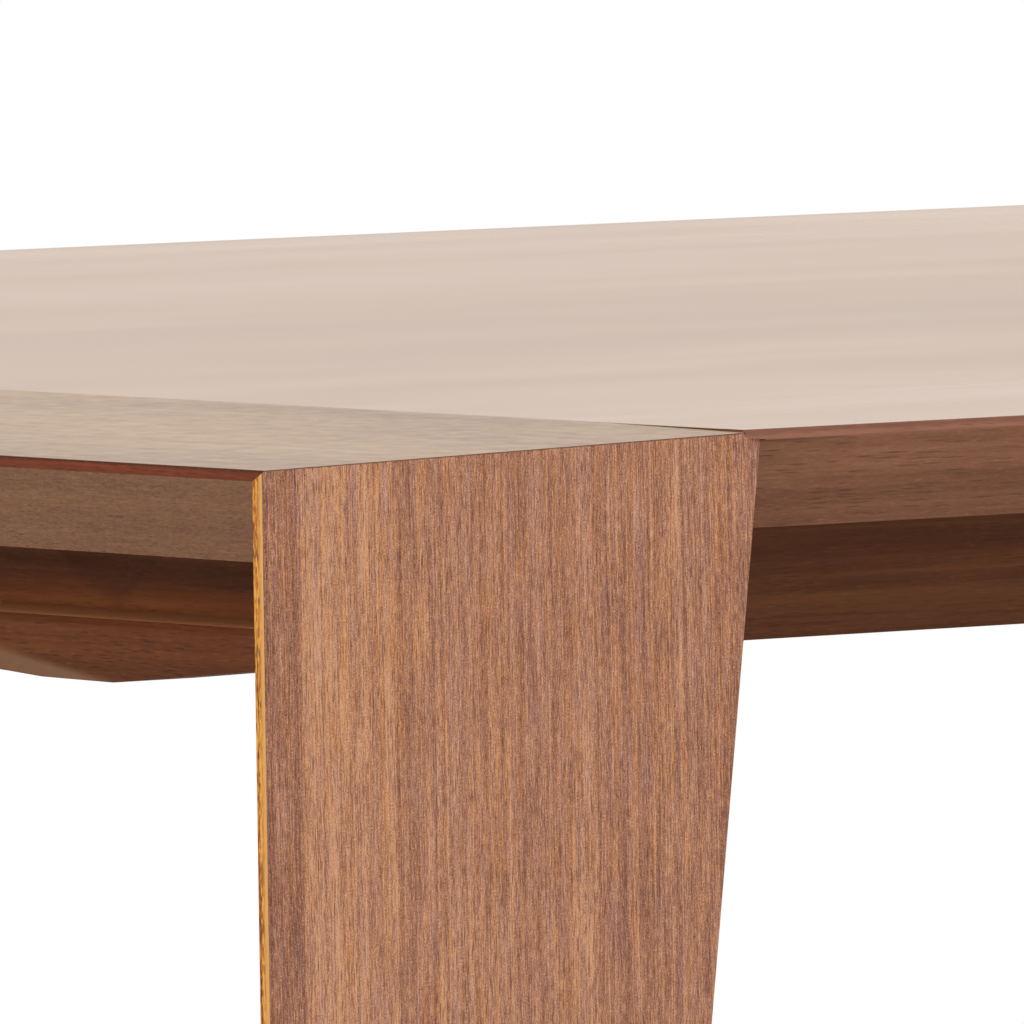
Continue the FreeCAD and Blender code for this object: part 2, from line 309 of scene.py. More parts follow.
def add_modifier(obj, name, kind, **settings):
    """Adds a modifier and applies it."""
    only(obj)
    modifier = obj.modifiers.new(name, kind)
    for key, value in settings.items():
        setattr(modifier, key, value)
    bpy.ops.object.modifier_apply(modifier=modifier.name)
    return obj


def ease_all(obj, width, segments=2, angle=30):
    """Rounds every edge that turns by more than the angle."""
    return add_modifier(obj, "Eased edges", "BEVEL", width=width * MM, segments=segments,
                        limit_method="ANGLE", angle_limit=math.radians(angle))


def remove(*pieces):
    for piece in pieces:
        bpy.data.objects.remove(piece)


def carve(obj, *tools):
    """Takes the tools' volumes out of a piece and drops the tools."""
    for tool in tools:
        add_modifier(obj, "Carve", "BOOLEAN", operation="DIFFERENCE", solver="EXACT", object=tool)
        remove(tool)
    return obj


def clean(obj):
    """Merges doubled points and clears seams that saw cuts left in flat faces."""
    edit_all(obj)
    bpy.ops.mesh.remove_doubles(threshold=0.00001)
    bpy.ops.mesh.dissolve_limited(angle_limit=math.radians(0.4))
    bpy.ops.mesh.normals_make_consistent(inside=False)
    return done(obj)


def outward(obj):
    """Turns all faces outwards."""
    edit_all(obj)
    bpy.ops.mesh.normals_make_consistent(inside=False)
    return done(obj)


def copy(obj, name, flip=(1, 1, 1)):
    """A copy with its own mesh, mirrored where flip is -1."""
    only(obj)
    bpy.ops.object.duplicate()
    other = bpy.context.active_object
    other.name = other.data.name = name
    if flip != (1, 1, 1):
        other.scale = flip
        bpy.ops.object.transform_apply(location=False, rotation=False, scale=True)
        outward(other)
    return other


def put(obj, place=(0, 0, 0), turn=(0, 0, 0)):
    """Turns a piece about the origin, then moves it, and keeps both in its mesh."""
    only(obj)
    obj.rotation_euler = turn
    obj.location = [c * MM for c in place]
    bpy.ops.object.transform_apply(location=True, rotation=True, scale=True)
    return obj


def to_corner(obj):
    """Moves a piece drawn along the leg to the front left corner."""
    return put(obj, (-HALF_LENGTH, -HALF_END, 0), (0, 0, FLARE))


def along_leg(s, n):
    """X and Y of a point drawn along the front left leg."""
    return (-HALF_LENGTH + s * math.cos(FLARE) - n * math.sin(FLARE),
            -HALF_END + s * math.sin(FLARE) + n * math.cos(FLARE))


def mirrored(source, node, flips):
    """Hands out a copy for every place that a piece has, each with its CAD node's name."""
    for place, flip in flips.items():
        yield copy(source, f"{node}_{place}_finished", flip), f"{node}_{place}"


def join(name, parts):
    only(parts[0])
    for part in parts[1:]:
        part.select_set(True)
    bpy.ops.object.join()
    obj = bpy.context.active_object
    obj.name = obj.data.name = name
    return obj


def smooth(obj, angle=40):
    """Smooth shading that leaves the large flat faces flat."""
    only(obj)
    bpy.ops.object.shade_smooth_by_angle(angle=math.radians(angle))
    return add_modifier(obj, "Flat faces", "WEIGHTED_NORMAL", keep_sharp=True, weight=50)


def paint(obj, finish, *others):
    """Gives a piece its finish; (finish, test) pairs repaint faces whose centre and normal pass."""
    obj.data.materials.clear()
    for key in (finish, *(key for key, _ in others)):
        obj.data.materials.append(MATERIALS[key])
    for face in obj.data.polygons:
        face.material_index = 0
        for index, (_, test) in enumerate(others, 1):
            if test(face.center / MM, face.normal):
                face.material_index = index
    return obj


def settle(obj, node, body="table"):
    """Puts a finished piece on its body, in place of its CAD node."""
    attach(obj, body)
    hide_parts(node)
    return obj


# --- materials

class Nodes:
    """Short hand for building one material's nodes."""

    def __init__(self, name):
        old = bpy.data.materials.get(name)
        if old:
            bpy.data.materials.remove(old)
        self.material = bpy.data.materials.new(name)
        self.material.use_nodes = True
        self.tree = self.material.node_tree
        self.tree.nodes.clear()

    def add(self, kind, inputs=(), **settings):
        node = self.tree.nodes.new(kind)
        for key, value in settings.items():
            setattr(node, key, value)
        for key, value in dict(inputs).items():
            self.feed(node.inputs[key], value)
        return node

    def feed(self, socket, value):
        """Links a socket or sets it to a constant."""
        if isinstance(value, bpy.types.NodeSocket):
            self.tree.links.new(value, socket)
        else:
            socket.default_value = value

    def place(self):
        return self.add("ShaderNodeTexCoord").outputs["Object"]

    def maths(self, operation, a, b=0.0, c=0.0, clamp=False):
        node = self.add("ShaderNodeMath", {0: a, 1: b, 2: c}, operation=operation)
        node.use_clamp = clamp
        return node.outputs[0]

    def sway(self, value, pattern, amount, clamp=False):
        """Moves a value up and down with a pattern, around the pattern's middle."""
        return self.maths("MULTIPLY_ADD", self.maths("SUBTRACT", pattern, 0.5), amount, value,
                          clamp=clamp)

    def ranged(self, value, low, high, to_low=0.0, to_high=1.0):
        node = self.add("ShaderNodeMapRange", {"Value": value, "From Min": low, "From Max": high,
                                               "To Min": to_low, "To Max": to_high})
        return node.outputs["Result"]

    def split(self, colour_socket):
        """The three channels of a colour."""
        return self.add("ShaderNodeSeparateColor", {0: colour_socket}).outputs

    def ramp(self, value, stops, smooth_steps=False):
        node = self.add("ShaderNodeValToRGB", {"Fac": value})
        ramp = node.color_ramp
        ramp.interpolation = "EASE" if smooth_steps else "LINEAR"
        while len(ramp.elements) < len(stops):
            ramp.elements.new(0.5)
        for element, (position, tint) in zip(ramp.elements, stops):
            element.position = position
            element.color = (*tint, 1.0) if hasattr(tint, "__len__") else (tint, tint, tint, 1.0)
        return node.outputs["Color"]

    def soft_step(self, value):
        return self.ramp(value, [(0.0, 0.0), (1.0, 1.0)], smooth_steps=True)

    def blend(self, factor, a, b, how="MIX"):
        node = self.add("ShaderNodeMix", data_type="RGBA", blend_type=how)
        self.feed(node.inputs["Factor"], factor)
        for socket, tint in ((node.inputs[6], a), (node.inputs[7], b)):
            self.feed(socket, tint if isinstance(tint, bpy.types.NodeSocket) else (*tint, 1.0))
        return node.outputs[2]

    def noise(self, vector, scale, detail=2.0, roughness=0.5):
        node = self.add("ShaderNodeTexNoise", {"Vector": vector, "Scale": scale, "Detail": detail,
                                               "Roughness": roughness, "Distortion": 0.0})
        return node.outputs["Fac"]

    def stretched(self, across, depth, along, sizes):
        """A vector whose cells measure sizes (millimetres) across, deep and along."""
        parts = [self.maths("MULTIPLY", v, 1 / (size * MM))
                 for v, size in zip((across, depth, along), sizes)]
        return self.add("ShaderNodeCombineXYZ", dict(enumerate(parts))).outputs[0]

    def bump(self, strength, height, depth_mm):
        return self.add("ShaderNodeBump", {"Strength": strength, "Distance": depth_mm * MM,
                                           "Height": height}).outputs[0]

    def shader(self, **inputs):
        node = self.add("ShaderNodeBsdfPrincipled", inputs)
        out = self.add("ShaderNodeOutputMaterial")
        self.tree.links.new(node.outputs["BSDF"], out.inputs["Surface"])
        return self.material


def linear(tint):
    """A screen colour as light."""
    return tuple(c / 12.92 if c <= 0.04045 else ((c + 0.055) / 1.055) ** 2.4 for c in tint)


def tint_parts(n, tinted, tones, axes, cloud, short_fibre, rag,
               corner_highlight, overhang_shadow, edge_shade, bevel_floor_light, joint_shadow):
    """Paints light and shade onto parts of a piece: a highlight along a corner, shadow under an
    overhang, shade along a ragged edge, floor light on a bevel and shadow in a joint's V.
    """
    if corner_highlight:
        # painted highlight: paler towards the face veneer, along the rounded corner that catches the
        # light
        at, wide, shade = corner_highlight
        from_face = n.maths("SUBTRACT", at * MM, n.maths("ABSOLUTE", axes[1]))
        from_face = n.sway(from_face, short_fibre, 2.2 * MM)
        near = n.ranged(from_face, 0.55 * wide * MM, 1.25 * wide * MM, 0.8, 0.0)
        tinted = n.blend(near, tinted, linear(shade))
    if overhang_shadow:
        # painted shadow: darker towards the top, where the top's overhang shades the rail
        low, high, amount = overhang_shadow
        up = n.ranged(n.sway(axes[2], cloud, 6 * MM), low * MM, high * MM, 0.0, amount)
        tinted = n.blend(up, tinted, linear(tuple(c * 0.35 for c in tones[0][1])))
    if edge_shade:
        # darker along one ragged edge
        axis, at, reach, shade = edge_shade
        depth_in = n.maths("ABSOLUTE", n.maths("SUBTRACT", axes[axis], at * MM))
        depth_in = n.sway(depth_in, rag(), reach * 1.4 * MM)
        near = n.ranged(depth_in, reach * 0.5 * MM, reach * MM, 1.0, 0.0)
        tinted = n.blend(near, tinted, linear(shade))
    if bevel_floor_light:
        # painted light: the planed-off corner along the lower board's front edge is painted paler
        # for the floor's light and sheen on it
        start, rise, top, floor_light = bevel_floor_light
        inward = n.maths("SUBTRACT", start * MM, n.maths("ABSOLUTE", axes[1]))
        crease = n.maths("MULTIPLY_ADD", inward, rise, BOARD_BASE * MM)
        crease = n.maths("MINIMUM", crease, top * MM)
        below = n.ranged(n.maths("SUBTRACT", crease, axes[2]), -1.1 * MM, 1.2 * MM)
        tinted = n.blend(n.soft_step(below), tinted, n.blend(0.35, linear(floor_light), tinted))
    if joint_shadow:
        # painted shadow: a darker V over a joint in the frame, where the corner lies in shade
        joint, foot, inward, outward_by, shade = joint_shadow
        off = n.maths("SUBTRACT", n.maths("ABSOLUTE", axes[1]), joint * MM)
        spread = n.maths("MULTIPLY_ADD", n.maths("MAXIMUM", off, 0.0), 1 / outward_by,
                         n.maths("MULTIPLY", n.maths("MINIMUM", off, 0.0), -1 / inward))
        inside = n.maths("SUBTRACT", n.maths("SUBTRACT", axes[2], foot * MM), spread)
        joint_shadow_mask = n.split(n.soft_step(n.ranged(inside, -1.0 * MM, 3.4 * MM)))[0]
        tinted = n.blend(n.maths("MULTIPLY", joint_shadow_mask, 0.34), tinted, linear(shade))
    return tinted


def wood(name, tones, grain="X", turn=0.0, centre=(0.0, 0.0), seed=0.0, bands=None,
         band_size=14.0, band_mix=0.5, wander=2.5, loose=0.55, patch=0.25, patch_size=(26, 70),
         fibre=0.5, fine=(0.75, 0.42), lengths=(26, 4.2), streaks=0.0, mottle=0.0, grit=0.0,
         pores=0.6, pore_size=(0.55, 6.5), pore_tint=None, fleck=0.3, hue=0.0,
         gloss=0.45, play=0.06, specular=0.5, relief=0.04,
         corner_highlight=None, overhang_shadow=None, edge_shade=None, bevel_floor_light=None, joint_shadow=None):
    """Planed and lacquered walnut; sizes in millimetres.

    tones run from dark to light. bands = [(across, tone)] draws the broad figure out from centre,
    and loose says how far the random figure may stray from it. patch, fibre, streaks, mottle and
    grit are the strengths of ever finer figure, and hue leans it to orange or to plum."""
    n = Nodes(name)
    place = n.place()
    turned = n.add("ShaderNodeMapping", {"Vector": place, "Rotation": (0, 0, -turn)},
                   vector_type="POINT")
    x, y = centre[0] * MM, centre[1] * MM
    c, s = math.cos(turn), math.sin(turn)
    turned.inputs["Location"].default_value = (-(x * c + y * s), -(-x * s + y * c), 0.0)
    axes = n.add("ShaderNodeSeparateXYZ", {0: turned.outputs[0]}).outputs
    order = {"X": (1, 2, 0), "Y": (0, 2, 1), "Z": (0, 1, 2)}[grain]
    across, depth, along = (axes[i] for i in order)
    if seed:
        along = n.maths("ADD", along, seed)
    depth = n.maths("ADD", depth, seed * 0.37)

    def figure(sizes, detail=2.0, roughness=0.5):
        """Noise whose cells measure sizes across, deep and along the wandering grain."""
        return n.noise(n.stretched(moved, depth, along, sizes), 1.0, detail, roughness)

    # the figure wanders a little along the board
    moved = across
    slow, quick = figure((160, 160, 420)), figure((18, 18, 55))
    moved = n.sway(n.sway(across, slow, wander * 6 * MM), quick, wander * MM)

    # broad figure
    broad = figure((band_size * 2.6, band_size * 2.6, 900), 2.0, 0.55)
    slim = figure((band_size * 0.6, band_size * 0.6, 380), 4.0, 0.62)
    tone = n.sway(n.sway(0.5, broad, 1.9 * band_mix), slim, 1.5 * band_mix)
    if bands:
        span = bands[-1][0]
        drawn = n.ramp(n.ranged(moved, 0.0, span * MM), [(at / span, value) for at, value in bands])
        tone = n.sway(n.split(drawn)[0], tone, loose)
    cloud = figure((patch_size[0], *patch_size), 3.0, 0.6)
    tone = n.sway(tone, cloud, patch)

    # fibres
    long_fibre = figure((fine[0], fine[0], lengths[0]), 3.0, 0.7)
    short_fibre = figure((fine[1], fine[1], lengths[1]), 2.0, 0.6)
    tone = n.sway(tone, long_fibre, fibre * 0.75)
    for strength, sizes, detail, roughness in ((streaks, (1.5, 1.5, 260), 2.0, 0.6),
                                               (mottle, (2.4, 2.4, 22), 1.0, 0.5),
                                               (grit, (0.26, 0.26, 0.4), 1.0, 0.5)):
        if strength:
            tone = n.sway(tone, figure(sizes, detail, roughness), strength)
    tone = n.sway(tone, short_fibre, fibre * 0.8, clamp=True)
    body = n.ramp(tone, [(at, linear(tint)) for at, tint in tones])

    # pores and pale flecks
    cell = n.add("ShaderNodeTexVoronoi", {
        "Vector": n.stretched(moved, depth, along, (pore_size[0], *pore_size)),
        "Scale": 1.0, "Randomness": 1.0}, feature="F1", distance="EUCLIDEAN")
    dash = n.ranged(cell.outputs["Distance"], 0.2, 0.42, 1.0, 0.0)
    dash = n.maths("MULTIPLY", dash, n.ranged(n.split(cell.outputs["Color"])[0], 0.15, 0.7))
    dash = n.maths("MULTIPLY", dash, n.ranged(cloud, 0.3, 0.62, 0.55, 1.0))
    dark = linear(pore_tint or tuple(bpy.context.scene.table_finishes.pore))
    tinted = n.blend(n.maths("MULTIPLY", dash, pores), body, dark)
    light = n.maths("MULTIPLY", n.ranged(short_fibre, 0.6, 0.75), fleck)
    tinted = n.blend(light, tinted, linear(tones[-1][1]))

    if hue:
        warm = n.sway(figure((0.5, 0.8, 16), 2.0, 0.6), figure((4.5, 4.5, 130), 2.0, 0.6), 0.4)
        cast = n.add("ShaderNodeCombineColor", {
            0: n.ranged(warm, 0.25, 0.75, 1 - 0.12 * hue, 1 + 0.12 * hue), 1: 1.0,
            2: n.ranged(warm, 0.25, 0.75, 1 + 0.48 * hue, 1 - 0.48 * hue)}).outputs[0]
        tinted = n.blend(1.0, tinted, cast, "MULTIPLY")

    def rag():
        return n.noise(n.stretched(across, depth, along, (0.9, 0.9, 0.9)), 1.0)

    tinted = tint_parts(n, tinted, tones, axes, cloud, short_fibre, rag, corner_highlight, overhang_shadow, edge_shade,
                        bevel_floor_light, joint_shadow)
    rise = n.maths("MULTIPLY_ADD", dash, -1.0, n.maths("MULTIPLY", long_fibre, 0.6))
    return n.shader(**{
        "Base Color": tinted,
        "Roughness": n.ranged(long_fibre, 0.25, 0.75, gloss + play, gloss - play),
        "Specular IOR Level": specular, "Normal": n.bump(0.6, rise, relief)})


def metal(name, tint, gloss):
    """Plated or turned metal with fine wiping marks and a little wear."""
    n = Nodes(name)
    place = n.place()
    marks = n.noise(place, 900.0, 4.0, 0.6)
    worn = n.noise(place, 120.0, 3.0)
    body = n.ramp(worn, [(0.3, linear([c * 0.82 for c in tint])), (0.7, linear(tint))])
    return n.shader(**{
        "Base Color": body, "Metallic": 1.0,
        "Roughness": n.ranged(marks, 0.3, 0.7, gloss - 0.08, gloss + 0.12),
        "Normal": n.bump(0.25, marks, 0.02)})


def moulded(name, tint):
    """Black nylon with a fine moulded grain."""
    n = Nodes(name)
    place = n.place()
    grain = n.noise(place, 2600.0)
    scuffs = n.noise(place, 240.0, 4.0, 0.7)
    body = n.ramp(scuffs, [(0.35, linear(tint)), (0.75, linear([c + 0.07 for c in tint]))])
    return n.shader(**{"Base Color": body, "Roughness": n.ranged(scuffs, 0.3, 0.7, 0.55, 0.7),
                       "Normal": n.bump(0.3, grain, 0.05)})


MATERIALS = {}


def end_top():
    """Height of the end boards' surface at their ends."""
    return HEIGHT - bpy.context.scene.table_sizes.board_drop


def make_leg_materials():
    """Upright veneer whose broad bands are the same on every leg, counted from the golden strip."""
    f = bpy.context.scene.table_finishes
    tones = [(0.0, (0.44, 0.235, 0.135)), (0.2, tuple(f.plum)), (0.4, tuple(f.brown)),
             (0.6, tuple(f.rose)), (0.82, tuple(f.tan)), (1.0, tuple(f.bright))]
    # a dark band beside the golden strip, a pale one, then middle brown
    bands = [(0, 0.35), (10, 0.35), (11, 0.7), (41, 0.7), (43, 0.5), (LEG_TOP, 0.5)]
    for number, (corner, (fx, fy, _)) in enumerate(CORNERS.items()):
        MATERIALS[f"leg_{corner}"] = wood(
            f"Leg veneer {corner}", tones, "Z", turn=FLARE * fx * fy + (0 if fx > 0 else math.pi),
            centre=(-HALF_LENGTH * fx, -HALF_END * fy), seed=number * 1.7, bands=bands,
            band_size=12, band_mix=0.6, wander=1.0, loose=0.55, patch=0.2, fibre=1.8,
            fine=(0.62, 0.4), lengths=(24, 2.2), streaks=0.8, mottle=0.6, grit=1.6, pores=0.95,
            pore_size=(0.42, 5.5), pore_tint=(0.38, 0.19, 0.12), fleck=0.45, hue=0.95, gloss=0.5,
            specular=0.3, relief=0.05, edge_shade=(2, end_top(), 0.35, (0.45, 0.29, 0.22)))


def make_top_materials():
    # the broad bands, lighter towards both long edges, are partly the veneer's figure and partly a
    # painted sheen for the glossy top's uneven reflection
    MATERIALS["top"] = wood(
        "Top veneer", [(0.0, (0.545, 0.355, 0.14)), (0.5, (0.625, 0.435, 0.215)),
                       (1.0, (0.72, 0.575, 0.43))],
        "X", centre=(0, -HALF_WIDTH), band_size=90, band_mix=0.4, wander=9,
        bands=[(0, 0.8), (HALF_WIDTH, 0.4), (2 * HALF_WIDTH, 0.8)],
        loose=0.45, patch=0.9, patch_size=(60, 240), fibre=0.06, fine=(70, 40),
        lengths=(500, 200), pores=0.0, fleck=0.0, gloss=0.26, play=0.0, specular=0.55,
        relief=0.0, seed=4.1)
    MATERIALS["cross"] = wood(
        "End board veneer", [(0.0, (0.50, 0.33, 0.12)), (0.35, (0.605, 0.435, 0.23)),
                             (0.65, (0.66, 0.50, 0.30)), (1.0, (0.735, 0.595, 0.42))],
        "Y", band_size=34, band_mix=0.8, wander=7, patch=0.5, fibre=0.9, fine=(7.0, 4.0),
        lengths=(11, 6), pores=0.45, pore_size=(4.0, 7.0), fleck=0.3, gloss=0.36, play=0.03,
        specular=0.5, relief=0.06, seed=7.3)
    MATERIALS["end_band"] = wood(
        "End lipping", [(0.0, (0.34, 0.21, 0.137)), (0.3, (0.445, 0.288, 0.188)),
                        (0.6, (0.515, 0.348, 0.23)), (1.0, (0.585, 0.41, 0.283))],
        "Y", band_size=7, band_mix=0.35, wander=1.2, patch=0.3, fibre=1.15, fine=(0.6, 0.42),
        lengths=(9, 1.6), grit=0.9, pores=0.65, pore_size=(0.45, 3.0),
        pore_tint=(0.24, 0.15, 0.10), gloss=0.6, specular=0.3, relief=0.04, seed=2.2)
    MATERIALS["long_band"] = wood(
        "Long lipping", [(0.0, (0.32, 0.18, 0.11)), (0.35, (0.42, 0.26, 0.18)),
                         (0.65, (0.50, 0.33, 0.235)), (1.0, (0.59, 0.41, 0.30))],
        "X", band_size=6, band_mix=0.5, wander=2.4, patch=0.35, fibre=0.42, fine=(0.8, 0.42),
        lengths=(22, 2.2), pores=0.5, pore_size=(0.6, 12.0), pore_tint=(0.25, 0.14, 0.09),
        gloss=0.55, specular=0.2, relief=0.03, seed=5.5)
    MATERIALS["end_strip"] = wood(
        "End strip", [(0.0, (0.28, 0.105, 0.03)), (0.5, (0.44, 0.185, 0.06)),
                      (1.0, (0.58, 0.27, 0.095))],
        "Y", band_size=3, band_mix=0.6, wander=0.6, fibre=0.6, pores=0.5,
        pore_tint=(0.2, 0.08, 0.03), gloss=0.5, specular=0.15, seed=1.1,
        edge_shade=(2, end_top(), 0.7, (0.3, 0.13, 0.06)))
    MATERIALS["long_strip"] = wood(
        "Long strip", [(0.0, (0.38, 0.22, 0.16)), (0.5, (0.52, 0.33, 0.25)),
                       (1.0, (0.64, 0.43, 0.335))],
        "X", band_size=3, band_mix=0.6, wander=0.6, fibre=0.5, pores=0.4, gloss=0.5,
        specular=0.25, seed=8.2)
    # the golden strip carries a painted highlight, paler beside the face veneer along the rounded
    # corner
    MATERIALS["golden"] = wood(
        "Golden strip", [(0.0, (0.30, 0.12, 0.02)), (0.4, (0.62, 0.33, 0.05)),
                         (0.65, (0.79, 0.48, 0.10)), (1.0, (0.93, 0.67, 0.27))],
        "Z", band_size=1.6, band_mix=1.2, wander=0.9, patch=0.8, fibre=2.6, fine=(0.9, 0.6),
        lengths=(9, 2.2), pores=0.9, pore_size=(0.9, 3.2), pore_tint=(0.3, 0.12, 0.02),
        gloss=0.45, specular=0.25, relief=0.03, seed=3.3, corner_highlight=(496.2, 1.5, (0.97, 0.71, 0.38)))
    MATERIALS["core"] = wood(
        "Board core", [(0.0, (0.22, 0.16, 0.11)), (1.0, (0.36, 0.28, 0.21))], "Y", band_size=3,
        band_mix=0.6, wander=0.5, fibre=0.6, pores=0.4, gloss=0.7, seed=2.7)


def make_frame_materials():
    frame_tones = ((0.0, (0.30, 0.155, 0.08)), (0.4, (0.42, 0.23, 0.125)),
                   (0.75, (0.53, 0.31, 0.175)), (1.0, (0.62, 0.38, 0.225)))
    # painted shade on the crosswise rails: darker towards the top under the overhang, and a darker V
    # over each joint
    painted_shadows = {"overhang_shadow": (719.6, 722.6, 0.22),
               "joint_shadow": (381.0, 712.4, 2.1, 1.3, (0.33, 0.175, 0.095))}
    # the two frame woods differ only by these factors: the lengthwise copy is painted darker,
    # painted shade for the rails under the long edges, and the crosswise copy is lighter and redder,
    # painted light where the end recess is lit from below
    for key, title, grain, warm, parts in (
            ("frame_x", "Frame wood, lengthwise", "X", (0.83, 0.86, 0.85), {}),
            ("frame_y", "Frame wood, crosswise", "Y", (1.0, 0.965, 0.86), painted_shadows)):
        tones = [(at, tuple(c * w for c, w in zip(tint, warm))) for at, tint in frame_tones]
        MATERIALS[key] = wood(
            title, tones, grain, band_size=7, band_mix=0.75, wander=2.0, patch=0.4, fibre=0.3,
            pores=0.3, pore_tint=(0.17, 0.08, 0.04), gloss=0.6, specular=0.15, relief=0.04,
            seed=6.6, **parts)
    lower = {"grain": "Y", "band_size": 8, "band_mix": 0.5, "wander": 1.6, "patch": 0.3,
             "gloss": 0.65, "specular": 0.12, "relief": 0.04, "seed": 9.9}
    # the lower board's bevel is painted paler, painted light from the floor on its front edge
    MATERIALS["board"] = wood(
        "Lower board", [(0.0, (0.292, 0.15, 0.065)), (0.4, (0.397, 0.212, 0.101)),
                        (0.75, (0.475, 0.27, 0.135)), (1.0, (0.563, 0.335, 0.18))],
        fibre=0.5, pores=0.6, pore_tint=(0.2, 0.11, 0.07),
        bevel_floor_light=(HAUNCH, 0.135, CREASE, (0.56, 0.41, 0.31)), **lower)
    # a lit copy of the lower board's wood: the ledge under the top is painted far lighter, painted
    # light for what reaches it there
    MATERIALS["ledge_painted_light"] = wood(
        "Lower board ledge, painted light", [(0.0, (0.79, 0.52, 0.35)), (0.5, (0.885, 0.605, 0.42)),
                                     (1.0, (0.93, 0.665, 0.49))],
        fibre=0.4, pores=0.2, pore_tint=(0.4, 0.24, 0.15), **lower)


def make_fastening_materials():
    MATERIALS["birch"] = wood(
        "Birch", [(0.0, (0.72, 0.6, 0.44)), (0.5, (0.82, 0.71, 0.55)), (1.0, (0.9, 0.8, 0.65))],
        "X", band_size=4, band_mix=0.5, wander=1.0, fibre=0.4, pores=0.2,
        pore_tint=(0.5, 0.38, 0.25), gloss=0.6, seed=0.4)
    MATERIALS["steel"] = metal("Zinc plated steel", (0.78, 0.79, 0.80), 0.32)
    MATERIALS["brass"] = metal("Turned brass", (0.86, 0.72, 0.42), 0.3)
    MATERIALS["nylon"] = moulded("Black nylon", (0.12, 0.12, 0.125))


def dress_hidden():
    """Finishes for the pieces of the frame that stay as they are."""
    for node, key in {"seam_spline_left": "birch", "seam_spline_right": "birch",
                      "frame_dowels": "birch", "leg_inserts": "brass",
                      "foot_sleeves": "brass"}.items():
        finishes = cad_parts[node].data.materials
        finishes.clear()
        finishes.append(MATERIALS[key])


# --- legs

def back_mitre(obj, wide):
    """Cuts the hidden mitre that starts where the end face is this wide."""
    return trim(obj, (wide * LEG_FACE[0], wide * LEG_FACE[1], 0),
                (-math.sin(LEG_MITRE), math.cos(LEG_MITRE), 0))


def cut_at_strip(obj, keep):
    """Cuts at the golden strip's inner face; keeps the strip's side for 1, the blade's for -1."""
    return trim(obj, (STRIP_DEEP * LEG_FACE[1], -STRIP_DEEP * LEG_FACE[0], 0),
                (keep * LEG_FACE[1], -keep * LEG_FACE[0], 0))


def run_out():
    """Where the long edge's sloping strip runs out across the blade's corner."""
    tail = block("tail", (LEG_SEAM - 10, -60, FOLD), (LEG_SEAM + 0.1, 80, 800))
    return trim(tail, (LEG_SEAM - RUN_OUT, 0, end_top()), RUN_OUT_LEAN)


def leg_blank(name, wide, grow=0.0, reach=0.0):
    """The blade: tapered, mitred behind and folded at the top. wide is the width of its end face,
    which grows above the knee; a tool reaches past the faces that others must meet."""
    obj = block(name, (-40, -reach, LEG_BASE - reach), (230, LEG_THICK, LEG_HEAD))
    trim(obj, (-3 if reach else 0, 0, 0), (-LEG_FACE[1], LEG_FACE[0], 0))
    back_mitre(obj, wide)
    if grow:
        knee = HEIGHT - bpy.context.scene.table_sizes.strip_run
        trim(obj, (0, 0, knee), (0, 0, 1), keep=True)
        more = grow * (LEG_HEAD - knee) / (HEIGHT - knee)
        slope = math.tan(LEG_MITRE)
        start_s, start_n = wide * LEG_FACE[0], wide * LEG_FACE[1]

        def on_mitre(s, n, z):
            return z > 780 and abs(n - start_n - (s - start_s) * slope) < 0.05 and n < 31
        shift(obj, on_mitre, (more * LEG_FACE[0], more * LEG_FACE[1], 0))
        shift(obj, lambda s, n, z: z > 780 and n > 31 and s < 60,
              (-more * (LEG_FACE[1] / slope - LEG_FACE[0]), 0, 0))
    trim(obj, (LEG_FOOT, 0, LEG_BASE), (HEIGHT - LEG_BASE, 0, LEG_FOOT - LEG_TOP))
    trim(obj, (0, 0, end_top()), (0, 1 if reach else STRIP_FALL, 1))
    arris = block("arris", (LEG_SEAM, -60, FOLD), (240, 80, 800))
    trim(arris, (LEG_SEAM, 0, ARRIS_END), (-ARRIS_FALL, 0, -1))
    return carve(obj, arris, run_out())


def leg_tools():
    """Four blades that reach past their outer faces, to cut the pieces that meet them."""
    tool = to_corner(leg_blank("tool", STRIP_WIDE, reach=2.0))
    tools = [copy(tool, f"tool_{corner}", flip) for corner, flip in CORNERS.items()]
    remove(tool)
    return tools


def build_legs():
    sizes = bpy.context.scene.table_sizes
    leg = leg_blank("leg", sizes.strip_foot, sizes.strip_top - sizes.strip_foot)
    strip = copy(leg, "strip")
    fold = block("fold", (-60, -20, 690), (260, 60, 820))
    trim(fold, (0, 0, end_top() + 0.01), (0, -1, -1))
    carve(leg, cut_at_strip(fold, -1))
    trim(strip, (0, sizes.veneer, 0), (0, -1, 0))
    clean(cut_at_strip(strip, 1))
    groove = block("groove", (-60, sizes.veneer, -20), (60, 30, 800))
    clean(carve(leg, cut_at_strip(groove, 1)))
    carve(leg, rod("sleeve", 6.0, 0, 34, FOOT), rod("well", 4.6, 0, 60, FOOT))
    ease(leg, sizes.eased_edge,
         lambda s, n, z: n < 0.01 and (s < 0.1 or s > 163.6 or z < FOLD), 2)
    ease(leg, 0.08, lambda s, n, z: n < 0.01 and z > 749 and s < 161.5, 1)
    ease(leg, sizes.eased_edge, lambda s, n, z: n > LEG_THICK - 0.01, 2)
    to_corner(leg)
    to_corner(strip)
    blades, strips = mirrored(leg, "leg", CORNERS), mirrored(strip, "leg_strip", CORNERS)
    for (blade, node), (edge, edge_node) in zip(blades, strips):
        paint(blade, node,
              ("long_strip", lambda c, n: 0.2 < n.z < 0.6 and abs(c.x) < 850 and c.z > 748))
        settle(blade, node)
        settle(paint(edge, "golden"), edge_node)
    remove(leg, strip)


# --- top

